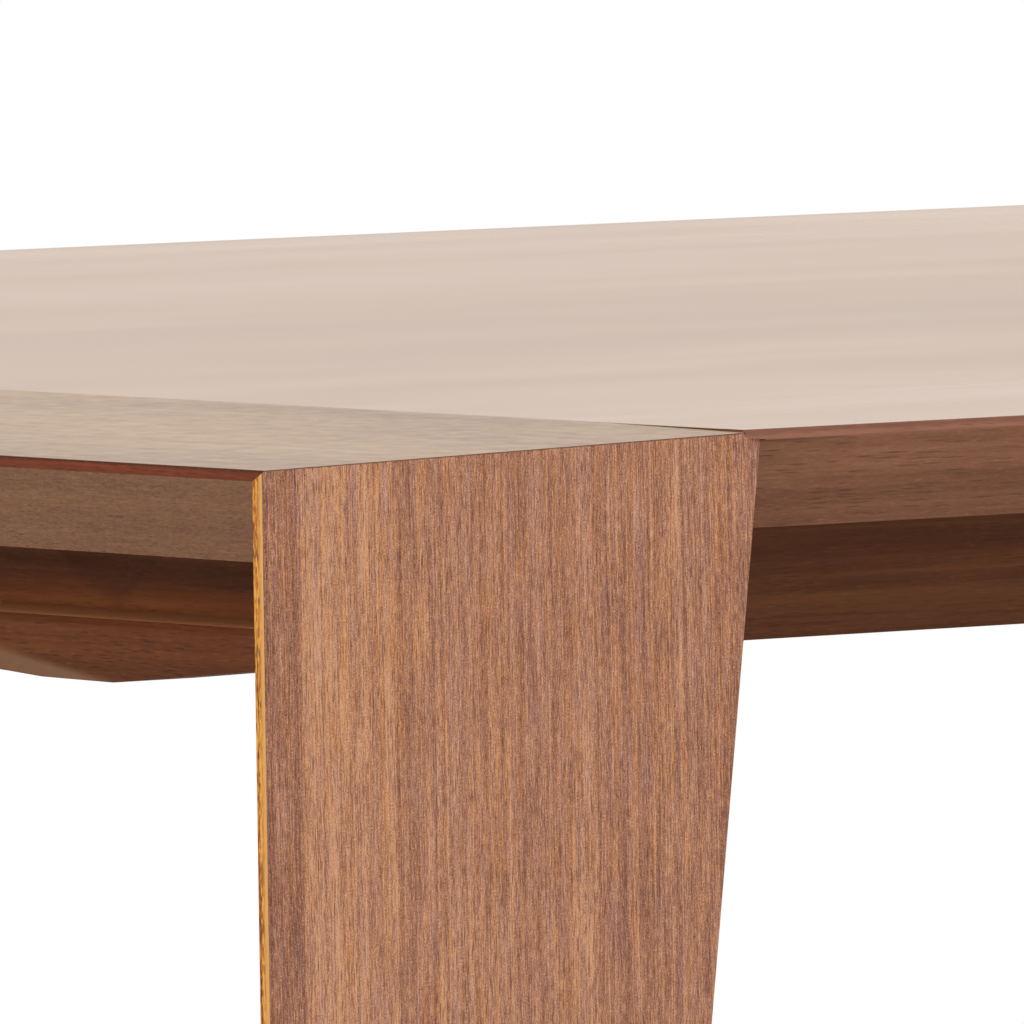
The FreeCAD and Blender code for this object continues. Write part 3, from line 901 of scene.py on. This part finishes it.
def build_main_panel():
    obj = block("main_panel_finished", (-SEAM, -PANEL_HALF, UNDER_TOP), (SEAM, PANEL_HALF, HEIGHT))
    carve(obj, *leg_tools())
    ease(obj, 0.18, lambda x, y, z: z > HEIGHT - 0.01 and abs(x) > SEAM - 0.5)
    paint(obj, "top", ("core", lambda c, n: abs(n.z) < 0.5))
    settle(smooth(obj), "main_panel")


def flared(name, inner, outer):
    """A left-hand board between two lines across the table, its sides flared and 1 mm over size."""
    obj = block(name, (-outer, -620, UNDER_TOP), (-inner, 620, HEIGHT))
    for side in (1, -1):
        trim(obj, (-SEAM, -(HALF_WIDTH + 1) * side, 0),
             (math.sin(FLARE), -math.cos(FLARE) * side, 0))
    return obj


def both_corners(tool):
    """A tool drawn along the leg, and its mirror image at the rear."""
    to_corner(tool)
    return copy(tool, f"{tool.name}_rear", REAR), tool


def end_board_blank():
    """Lies level along the seam's middle and falls to its end and its corners."""
    sizes = bpy.context.scene.table_sizes
    board = flared("board", SEAM, HALF_LENGTH - LIP_END)
    for side in (1, -1):
        trim(board, (0, side * (HALF_WIDTH - sizes.seam_run), 0), (0, 1, 0), keep=True)
    drop = (0, 0, -sizes.board_drop)
    shift(board, lambda x, y, z: z > FOLD and x < -900, drop)
    shift(board, lambda x, y, z: z > FOLD and x > -SEAM - 1 and abs(y) > HALF_WIDTH - 5, drop)
    x, y = along_leg(0, 0)
    for side in (1, -1):
        trim(board, (x, y * side, end_top()), (math.sin(FLARE), -math.cos(FLARE) * side, -1))
    return carve(board, *both_corners(run_out()))


def end_lipping_blank():
    """Upright strip above, undercut below, cut out round the legs and their golden strips."""
    lip = flared("lip", HALF_LENGTH - LIP_END, HALF_LENGTH)
    shift(lip, lambda x, y, z: z > FOLD, (0, 0, end_top() - HEIGHT))
    trim(lip, (-HALF_LENGTH, 0, end_top() - END_STRIP),
         (-math.cos(UNDERCUT), 0, -math.sin(UNDERCUT)))
    carve(lip, *leg_tools())
    cap = cut_at_strip(block("cap", (-60, -4, 700), (60, 30, 800)), 1)
    back_mitre(cap, bpy.context.scene.table_sizes.strip_top)
    trim(cap, (0, 0, end_top()), (0, STRIP_FALL, 1))
    return clean(carve(lip, *both_corners(cap)))


def build_end_boards():
    board, lip = end_board_blank(), end_lipping_blank()
    boards, lippings = mirrored(board, "end_board", ENDS), mirrored(lip, "end_lipping", ENDS)
    for (piece, node), (edge, edge_node) in zip(boards, lippings):
        paint(piece, "cross", ("core", lambda c, n: n.z < 0.5),
              ("long_strip", lambda c, n: 0.3 < n.z < 0.6 and abs(c.x) < 850))
        settle(smooth(piece), node)
        ease(edge, 0.22, lambda x, y, z: abs(x) > HALF_LENGTH - 0.01 and z > HEIGHT - 0.7)
        ease(edge, 0.22, lambda x, y, z: abs(x) > HALF_LENGTH - 0.01 and z < HEIGHT - 2.0)
        paint(edge, "end_band", ("end_strip", lambda c, n: abs(n.x) > 0.93),
              ("cross", lambda c, n: n.z > 0.8))
        settle(smooth(edge), edge_node)
    remove(board, lip)


def build_long_lippings():
    lip = block("lip", (-SEAM, -HALF_WIDTH, UNDER_TOP), (SEAM, -PANEL_HALF, HEIGHT))
    trim(lip, (0, -HALF_WIDTH, HEIGHT - LONG_STRIP), (0, -math.sin(LONG_LEAN), math.cos(LONG_LEAN)))
    # below its strip each end is planed back, flush with the leg's face where they meet
    edge_x, edge_y = along_leg(LEG_TOP - 0.3, 0)
    away = (edge_y + HALF_WIDTH, SCRIBE_LEN, 0)
    under_strip = (-800, SCRIBE_TOP, (0, 0, 1))
    to_the_edge = (edge_x, 760, (ARRIS_FALL / math.cos(FLARE), 0, 1))
    for side in (1, -1):
        for far, high, top in (under_strip, to_the_edge):
            scribe = block("scribe", (-860, -470, 700), (far, -440, high))
            trim(scribe, (edge_x, edge_y, 0), away)
            trim(scribe, (-SEAM, 0, ARRIS_END), top)
            if side < 0:
                scribe.scale = (-1, 1, 1)
                outward(put(scribe))
            carve(lip, scribe)
    clean(carve(lip, *leg_tools()))
    for piece, node in mirrored(lip, "long_lipping", EDGES):
        ease(piece, 0.2, lambda x, y, z: 453 < abs(y) < 454.5 and z > HEIGHT - 0.01)
        ease(piece, 0.3, lambda x, y, z: abs(y) > 454.9 and z < UNDER_TOP + 0.1)
        paint(piece, "long_band", ("long_strip", lambda c, n: 0.3 < n.z < 0.9),
              ("top", lambda c, n: n.z > 0.9))
        settle(smooth(piece), node)
    remove(lip)


# --- frame under the top

def relieve(obj, at_y, along):
    """Planes away the top outer corner of a joint, down to a point just above the lower board."""
    foot = Vector((-FRAME_OUT, at_y, RELIEF_FOOT))
    edge = Vector((-FRAME_OUT, at_y + along, UNDER_TOP))
    back = Vector((RELIEF_DEEP - FRAME_OUT, at_y, UNDER_TOP))
    normal = (edge - foot).cross(back - foot)
    if normal.x > 0:
        normal.negate()
    trim(obj, foot, normal)


def settle_frame(obj, node):
    grain = "frame_x" if node.startswith("long") else "frame_y"
    return settle(smooth(paint(obj, grain)), node)


def build_under_frame():
    ease_by = bpy.context.scene.table_sizes.frame_edge
    x, y = along_leg(0, LEG_THICK)
    back_x, back_y = along_leg(0, LEG_THICK + BLOCK_THICK)
    out = (math.sin(FLARE), -math.cos(FLARE), 0)
    joint = back_y + (-FRAME_OUT - back_x) * math.tan(FLARE) + RELIEF_OVER

    corner = block("block", (-FRAME_OUT, -480, BLOCK_BASE), (-FRAME_IN, -300, UNDER_TOP))
    ease_all(corner, ease_by)
    trim(corner, (x, y, 0), out)
    trim(corner, (back_x, back_y, 0), (-out[0], -out[1], 0))
    relieve(corner, joint, -RELIEF_RUNS[0])
    for piece, node in mirrored(corner, "corner_block", CORNERS):
        settle_frame(piece, node)

    rail = block("rail", (-FRAME_OUT, -430, END_RAIL_BASE), (RAIL_THICK - FRAME_OUT, 430, UNDER_TOP))
    ease_all(rail, ease_by)
    for side in (1, -1):
        trim(rail, (back_x, back_y * side, 0), (out[0], out[1] * side, 0))
        relieve(rail, joint * side, RELIEF_RUNS[1] * side)
    for piece, node in mirrored(rail, "end_rail", ENDS):
        settle_frame(piece, node)

    inner = LONG_RAIL_OUT - RAIL_THICK
    long_rail = block("long", (-FRAME_IN, -LONG_RAIL_OUT, LONG_RAIL_BASE),
                      (FRAME_IN, -inner, UNDER_TOP))
    for piece, node in mirrored(long_rail, "long_rail", EDGES):
        settle_frame(ease_all(piece, ease_by, 3), node)

    cross = block("cross", (-CROSS_HALF, -inner, CROSS_BASE), (CROSS_HALF, inner, UNDER_TOP))
    for index, side in zip((-1, 0, 1), ("left", "middle", "right")):
        piece = put(copy(cross, f"cross_rail_{side}_finished"), (index * CROSS_PITCH, 0, 0))
        settle_frame(ease_all(piece, ease_by * 1.5, 3), f"cross_rail_{side}")
    remove(corner, rail, long_rail, cross)


def build_lower_boards():
    """Deepest at a haunch near each leg; a bevel lifts the inner part's front edge."""
    board = block("board", (-BOARD_OUT, -475, BOARD_BASE), (-FRAME_OUT, 475, BOARD_TOP))
    rise = math.radians(5)
    for side in (1, -1):
        trim(board, (0, -HAUNCH * side, BOARD_BASE), (0, -math.sin(rise) * side, -math.cos(rise)))
    carve(board, *leg_tools())
    for side in (1, -1):
        for at in (HAUNCH_TIP, HAUNCH_IN, HAUNCH_FADE, LIFT_END):
            trim(board, (0, at * side, 0), (0, side, 0), keep=True)
    trim(board, (0, 0, CREASE), (0, 0, 1), keep=True)

    def front(x):
        return x < 1 - BOARD_OUT

    def foot_at(z, y, at):
        return z < BOARD_BASE + 0.9 and abs(abs(y) - at) < 0.5

    shift(board, lambda x, y, z: foot_at(z, y, LIFT_END), (0, 0, LIFT))
    shift(board, lambda x, y, z: foot_at(z, y, HAUNCH_FADE), (0, 0, LIFT_START))
    # a slanted edge from the haunch's tip to the crease
    for side in (1, -1):
        pick(board, "VERT", lambda x, y, z: front(x) and y * side > 0 and (
            foot_at(z, y, HAUNCH_TIP)
            or (abs(abs(y) - HAUNCH_FADE) < 0.5 and abs(z - CREASE) < 0.5)))
        bpy.ops.mesh.vert_connect_path()
        done(board)
    shift(board, lambda x, y, z: front(x) and abs(y) < HAUNCH_FADE + 1 and z < CREASE - 0.2,
          (BEVEL, 0, 0))
    shift(board, lambda x, y, z: front(x) and foot_at(z, y, HAUNCH_IN), (BEVEL_TIP, 0, 0))
    ease(board, 1.6, lambda x, y, z: front(x) and z > 713, 1)
    for piece, node in mirrored(board, "lower_board", ENDS):
        ease_all(piece, 0.25, 2)
        # faces turned up are painted lighter than the board, painted light for the ledge and its
        # rounded edge under the top
        paint(piece, "board", ("frame_y", lambda c, n: n.z > 0.4),
              ("ledge_painted_light", lambda c, n: n.z > 0.9))
        settle(smooth(piece), node)
    remove(board)


# --- feet and fastenings

def settle_steel(obj, node, body="table"):
    return settle(smooth(paint(obj, "steel"), 35), node, body)


def thread():
    """A ridge wound round the Z axis."""
    pitch = bpy.context.scene.table_sizes.thread_pitch
    bpy.ops.object.select_all(action="DESELECT")
    bpy.ops.mesh.primitive_plane_add(size=1, location=(0, 0, 0))
    ridge = put(named("ridge"), (0, 0, 0), (math.pi / 2, 0, 0))
    ridge.scale = (0.75 * MM, 1, pitch * 0.92 * MM)
    put(ridge, (STEM_CORE + 0.275, 0, FLANGE_TOP))
    narrow(ridge, lambda x, y, z: x > 3.8, (1, 1, 0.15))
    add_modifier(ridge, "Thread", "SCREW", axis="Z", angle=2 * math.pi, screw_offset=pitch * MM,
                 iterations=int(THREAD_LEN / pitch), steps=24, render_steps=24,
                 use_merge_vertices=False)
    edit_all(ridge)
    bpy.ops.mesh.fill_holes(sides=4)
    return done(ridge)


def build_feet():
    pad = rod("pad", PAD_RADIUS, 0, PAD_TOP, FOOT, 64)
    ease(pad, 1.6, lambda x, y, z: z > PAD_TOP - 0.1, 4)
    ease(pad, 0.6, lambda x, y, z: z < 0.1, 3)
    flange = ease_all(rod("flange", 9, PAD_TOP, FLANGE_TOP, FOOT, 6), 0.35, 2)
    core = rod("core", STEM_CORE, FLANGE_TOP - 0.5, STEM_TOP, FOOT, 32)
    ease(core, 0.9, lambda x, y, z: z > STEM_TOP - 0.1, 2)
    ridge = thread()
    outward(put(ridge, (*FOOT, 0)))
    stem = join("stem", [flange, core, ridge])
    to_corner(pad)
    to_corner(stem)
    stems, pads = mirrored(stem, "foot_stem", CORNERS), mirrored(pad, "foot_pad", CORNERS)
    for (screw, screw_node), (disc, disc_node) in zip(stems, pads):
        body = screw_node.replace("_stem", "")
        settle_steel(screw, screw_node, body)
        settle(smooth(paint(disc, "nylon"), 35), disc_node, body)
    remove(pad, stem)


def countersunk(name, tall):
    """One screw with its head up at the origin and a cross recess, point down."""
    head = rod(name, SCREW_HEAD, -2.4, 0, sides=32)
    taper = SCREW_SHANK / SCREW_HEAD
    narrow(head, lambda x, y, z: z < -2, (taper, taper, 1))
    ease(head, 0.15, lambda x, y, z: z > -0.1, 1)
    for a, b in ((0.42, 2.1), (2.1, 0.42)):
        carve(head, block("slot", (-a, -b, -1.3), (a, b, 1)))
    shank = rod("shank", SCREW_SHANK - 0.1, -tall, -2.3, sides=16)
    narrow(shank, lambda x, y, z: z < -tall + 0.1, (0.1, 0.1, 1))
    return join(name, [head, shank])


def build_screws():
    screw = countersunk("screw", 20)
    down = (math.pi, 0, 0)
    plates = [(side * SEAM + off, y, PLATE_BASE) for side in (-1, 1) for y in PLATE_ROWS
              for off in PLATE_HOLES]
    rails = [(x, y, CROSS_BASE) for x in (-CROSS_PITCH, 0, CROSS_PITCH) for y in CROSS_SCREWS]
    end_rails = [(side * (FRAME_OUT - RAIL_THICK / 2), y, END_RAIL_BASE) for side in (-1, 1)
                 for y in RAIL_SCREWS]
    places = {node: [(where, down, 0.7 * index) for index, where in enumerate(group)]
              for node, group in (("rail_screws", rails), ("end_rail_screws", end_rails),
                                  ("seam_plate_screws", plates))}
    places["lower_board_screws"] = [
        ((side * (FRAME_OUT - RAIL_THICK), y, BOARD_SCREW_LEVEL), (0, -side * math.pi / 2, 0),
         0.9 * index) for side in (-1, 1) for index, y in enumerate(BOARD_SCREWS)]
    for node, group in places.items():
        parts = []
        for index, (where, turn, spin) in enumerate(group):
            part = put(copy(screw, f"{node}_{index}"), turn=(0, 0, spin))
            parts.append(put(part, where, turn))
        settle_steel(join(f"{node}_finished", parts), node)
    remove(screw)


def build_seam_plates():
    long, wide = PLATE_HALF
    plate = block("plate", (-long, -wide, PLATE_BASE), (long, wide, UNDER_TOP))
    ease(plate, 5, lambda x, y, z: abs(x) > long - 1 and abs(y) > wide - 1, 5)
    for off in PLATE_HOLES:
        carve(plate, rod("hole", 4.3, 720, 727.2, (off, 0), 32),
              rod("hole", 2.4, 720, 740, (off, 0), 24))
    parts = [put(copy(plate, f"plate_{side}_{y}"), (side * SEAM, y, 0))
             for side in (-1, 1) for y in PLATE_ROWS]
    remove(plate)
    group = join("seam_plates_finished", parts)
    settle_steel(ease_all(group, 0.25, 1, 50), "seam_plates")


def build_leg_bolts():
    """Socket heads on washers behind the corner blocks."""
    head = rod("head", BOLT_HEAD, 0, 8, sides=48)
    ease(head, 0.6, lambda x, y, z: z > 7.9, 2)
    carve(head, rod("socket", 3.45, 3.5, 9, sides=6))
    bolt = join("bolt", [head, rod("shank", BOLT_SHANK, -BOLT_LEN, 0.2, sides=24)])
    ring = rod("ring", 8, -WASHER, 0, sides=48)
    carve(ring, rod("hole", 4.1, -3, 1, sides=32))
    ease_all(ring, 0.2, 1, 50)
    for source, node in ((bolt, "leg_bolts"), (ring, "leg_washers")):
        parts = []
        for s in BOLTS_ALONG:
            place = (s, LEG_THICK + BLOCK_THICK + WASHER, BOLT_LEVEL)
            part = to_corner(put(copy(source, "part"), place, (-math.pi / 2, 0, 0)))
            parts += [copy(part, "part", flip) for flip in CORNERS.values()]
            remove(part)
        settle_steel(join(f"{node}_finished", parts), node)
        remove(source)


# --- stage

def build_floor():
    bpy.ops.object.select_all(action="DESELECT")
    bpy.ops.mesh.primitive_circle_add(vertices=96, radius=4.2, fill_type="NGON", location=(0, 0, 0))
    floor = named("Floor")
    n = Nodes("Pale floor")
    clouds = n.noise(n.place(), 3.0, 4.0)
    tint = n.ramp(clouds, [(0.3, (0.80, 0.80, 0.79)), (0.7, (0.83, 0.83, 0.825))])
    floor.data.materials.append(n.shader(**{"Base Color": tint, "Roughness": 0.8}))


def build_surroundings(strength):
    """White where the camera or a reflection looks past the table, soft light elsewhere."""
    world = bpy.data.worlds.new("Studio")
    world.use_nodes = True
    bpy.context.scene.world = world
    nodes, link = world.node_tree.nodes, world.node_tree.links.new
    nodes.clear()
    path = nodes.new("ShaderNodeLightPath")
    seen = path.outputs["Is Camera Ray"]
    for ray in ("Is Glossy Ray", "Is Transmission Ray"):
        either = nodes.new("ShaderNodeMath")
        either.operation = "ADD"
        either.use_clamp = True
        link(seen, either.inputs[0])
        link(path.outputs[ray], either.inputs[1])
        seen = either.outputs[0]
    mix = nodes.new("ShaderNodeMixShader")
    link(seen, mix.inputs["Fac"])
    for slot, level in ((1, strength), (2, 1.0)):
        glow = nodes.new("ShaderNodeBackground")
        glow.inputs["Color"].default_value = (1, 1, 1, 1)
        glow.inputs["Strength"].default_value = level
        link(glow.outputs[0], mix.inputs[slot])
    out = nodes.new("ShaderNodeOutputWorld")
    link(mix.outputs[0], out.inputs["Surface"])


def add_lamp(name, energy, size, where):
    bpy.ops.object.light_add(type="AREA", location=where)
    lamp = bpy.context.active_object
    lamp.name = name
    lamp.data.energy = energy
    lamp.data.size = size
    aim = Vector((-0.3, 0, 0.6)) - Vector(where)
    lamp.rotation_euler = aim.to_track_quat("-Z", "Y").to_euler()
    lamp.visible_glossy = False


def add_camera():
    yaw, pitch, roll = (math.radians(a) for a in CAMERA_TURNS)
    ahead = Vector((math.cos(pitch) * math.sin(yaw), math.cos(pitch) * math.cos(yaw),
                    -math.sin(pitch)))
    right = Vector((math.cos(yaw), -math.sin(yaw), 0.0))
    up = right.cross(ahead)
    side = right * math.cos(roll) + up * math.sin(roll)
    over = up * math.cos(roll) - right * math.sin(roll)
    bpy.ops.object.camera_add()
    camera = bpy.context.active_object
    camera.name = "Camera"
    camera.matrix_world = Matrix((
        (side.x, over.x, -ahead.x, CAMERA_PLACE[0]),
        (side.y, over.y, -ahead.y, CAMERA_PLACE[1]),
        (side.z, over.z, -ahead.z, CAMERA_PLACE[2]),
        (0, 0, 0, 1)))
    camera.data.sensor_width = 36
    camera.data.lens = CAMERA_LENS
    camera.data.clip_start = 0.1
    camera.data.clip_end = 100
    bpy.context.scene.camera = camera


# --- operators and panel

class TABLE_OT_stage(bpy.types.Operator):
    """Adds the floor, the lamps, the surroundings and the camera"""
    bl_idname = "table.stage"
    bl_label = "Stage"

    def execute(self, context):
        light = context.scene.table_studio
        build_floor()
        build_surroundings(light.sky)
        add_lamp("Key", light.key, 2.4, (1.6, -4.2, 2.6))
        add_lamp("Side", light.side, 2.2, (-4.6, -0.6, 1.8))
        add_lamp("Top", light.top, 3.0, (0.0, 0.4, 3.6))
        add_camera()
        context.scene.view_settings.view_transform = "Standard"
        return {"FINISHED"}


class TABLE_OT_materials(bpy.types.Operator):
    """Makes the table's finishes and puts them on the hidden pieces"""
    bl_idname = "table.materials"
    bl_label = "Finishes"

    def execute(self, context):
        make_leg_materials()
        make_top_materials()
        make_frame_materials()
        make_fastening_materials()
        dress_hidden()
        return {"FINISHED"}


class TABLE_OT_main_panel(bpy.types.Operator):
    """Makes the straight middle part of the top"""
    bl_idname = "table.main_panel"
    bl_label = "Main panel"

    def execute(self, context):
        build_main_panel()
        return {"FINISHED"}


class TABLE_OT_end_boards(bpy.types.Operator):
    """Makes the two flared end boards and their undercut lippings"""
    bl_idname = "table.end_boards"
    bl_label = "End boards"

    def execute(self, context):
        build_end_boards()
        return {"FINISHED"}


class TABLE_OT_long_lippings(bpy.types.Operator):
    """Makes the lippings of the long edges"""
    bl_idname = "table.long_lippings"
    bl_label = "Long lippings"

    def execute(self, context):
        build_long_lippings()
        return {"FINISHED"}


class TABLE_OT_legs(bpy.types.Operator):
    """Makes the four tapered blade legs and their golden strips"""
    bl_idname = "table.legs"
    bl_label = "Legs"

    def execute(self, context):
        build_legs()
        return {"FINISHED"}


class TABLE_OT_under_frame(bpy.types.Operator):
    """Makes the rails and corner blocks under the top"""
    bl_idname = "table.under_frame"
    bl_label = "Under-frame"

    def execute(self, context):
        build_under_frame()
        return {"FINISHED"}


class TABLE_OT_lower_boards(bpy.types.Operator):
    """Makes the haunched boards under the table's ends"""
    bl_idname = "table.lower_boards"
    bl_label = "Lower boards"

    def execute(self, context):
        build_lower_boards()
        return {"FINISHED"}


class TABLE_OT_feet(bpy.types.Operator):
    """Makes the levelling feet with their threads and pads"""
    bl_idname = "table.feet"
    bl_label = "Feet"

    def execute(self, context):
        build_feet()
        return {"FINISHED"}


class TABLE_OT_fastenings(bpy.types.Operator):
    """Makes the screws, seam plates, leg bolts and washers"""
    bl_idname = "table.fastenings"
    bl_label = "Fastenings"

    def execute(self, context):
        build_screws()
        build_seam_plates()
        build_leg_bolts()
        return {"FINISHED"}


OPERATORS = (TABLE_OT_stage, TABLE_OT_materials, TABLE_OT_main_panel, TABLE_OT_end_boards,
             TABLE_OT_long_lippings, TABLE_OT_legs, TABLE_OT_under_frame, TABLE_OT_lower_boards,
             TABLE_OT_feet, TABLE_OT_fastenings)


class TABLE_PT_panel(bpy.types.Panel):
    """The table's pieces and settings"""
    bl_idname = "TABLE_PT_panel"
    bl_label = "Dining table"
    bl_space_type = "VIEW_3D"
    bl_region_type = "UI"
    bl_category = "Table"

    def draw(self, context):
        for settings in ("table_sizes", "table_finishes", "table_studio"):
            group = getattr(context.scene, settings)
            for key in group.__annotations__:
                self.layout.prop(group, key)
        for operator in OPERATORS:
            self.layout.operator(operator.bl_idname)


CLASSES = (TableSizes, TableFinishes, StudioLight, *OPERATORS, TABLE_PT_panel)


def register():
    for item in CLASSES:
        bpy.utils.register_class(item)
    bpy.types.Scene.table_sizes = PointerProperty(type=TableSizes)
    bpy.types.Scene.table_finishes = PointerProperty(type=TableFinishes)
    bpy.types.Scene.table_studio = PointerProperty(type=StudioLight)


def unregister():
    del bpy.types.Scene.table_studio
    del bpy.types.Scene.table_finishes
    del bpy.types.Scene.table_sizes
    for item in reversed(CLASSES):
        bpy.utils.unregister_class(item)


def main():
    register()
    for operator in OPERATORS:
        getattr(bpy.ops.table, operator.bl_idname.split(".")[1])()


if __name__ == "__main__":
    main()
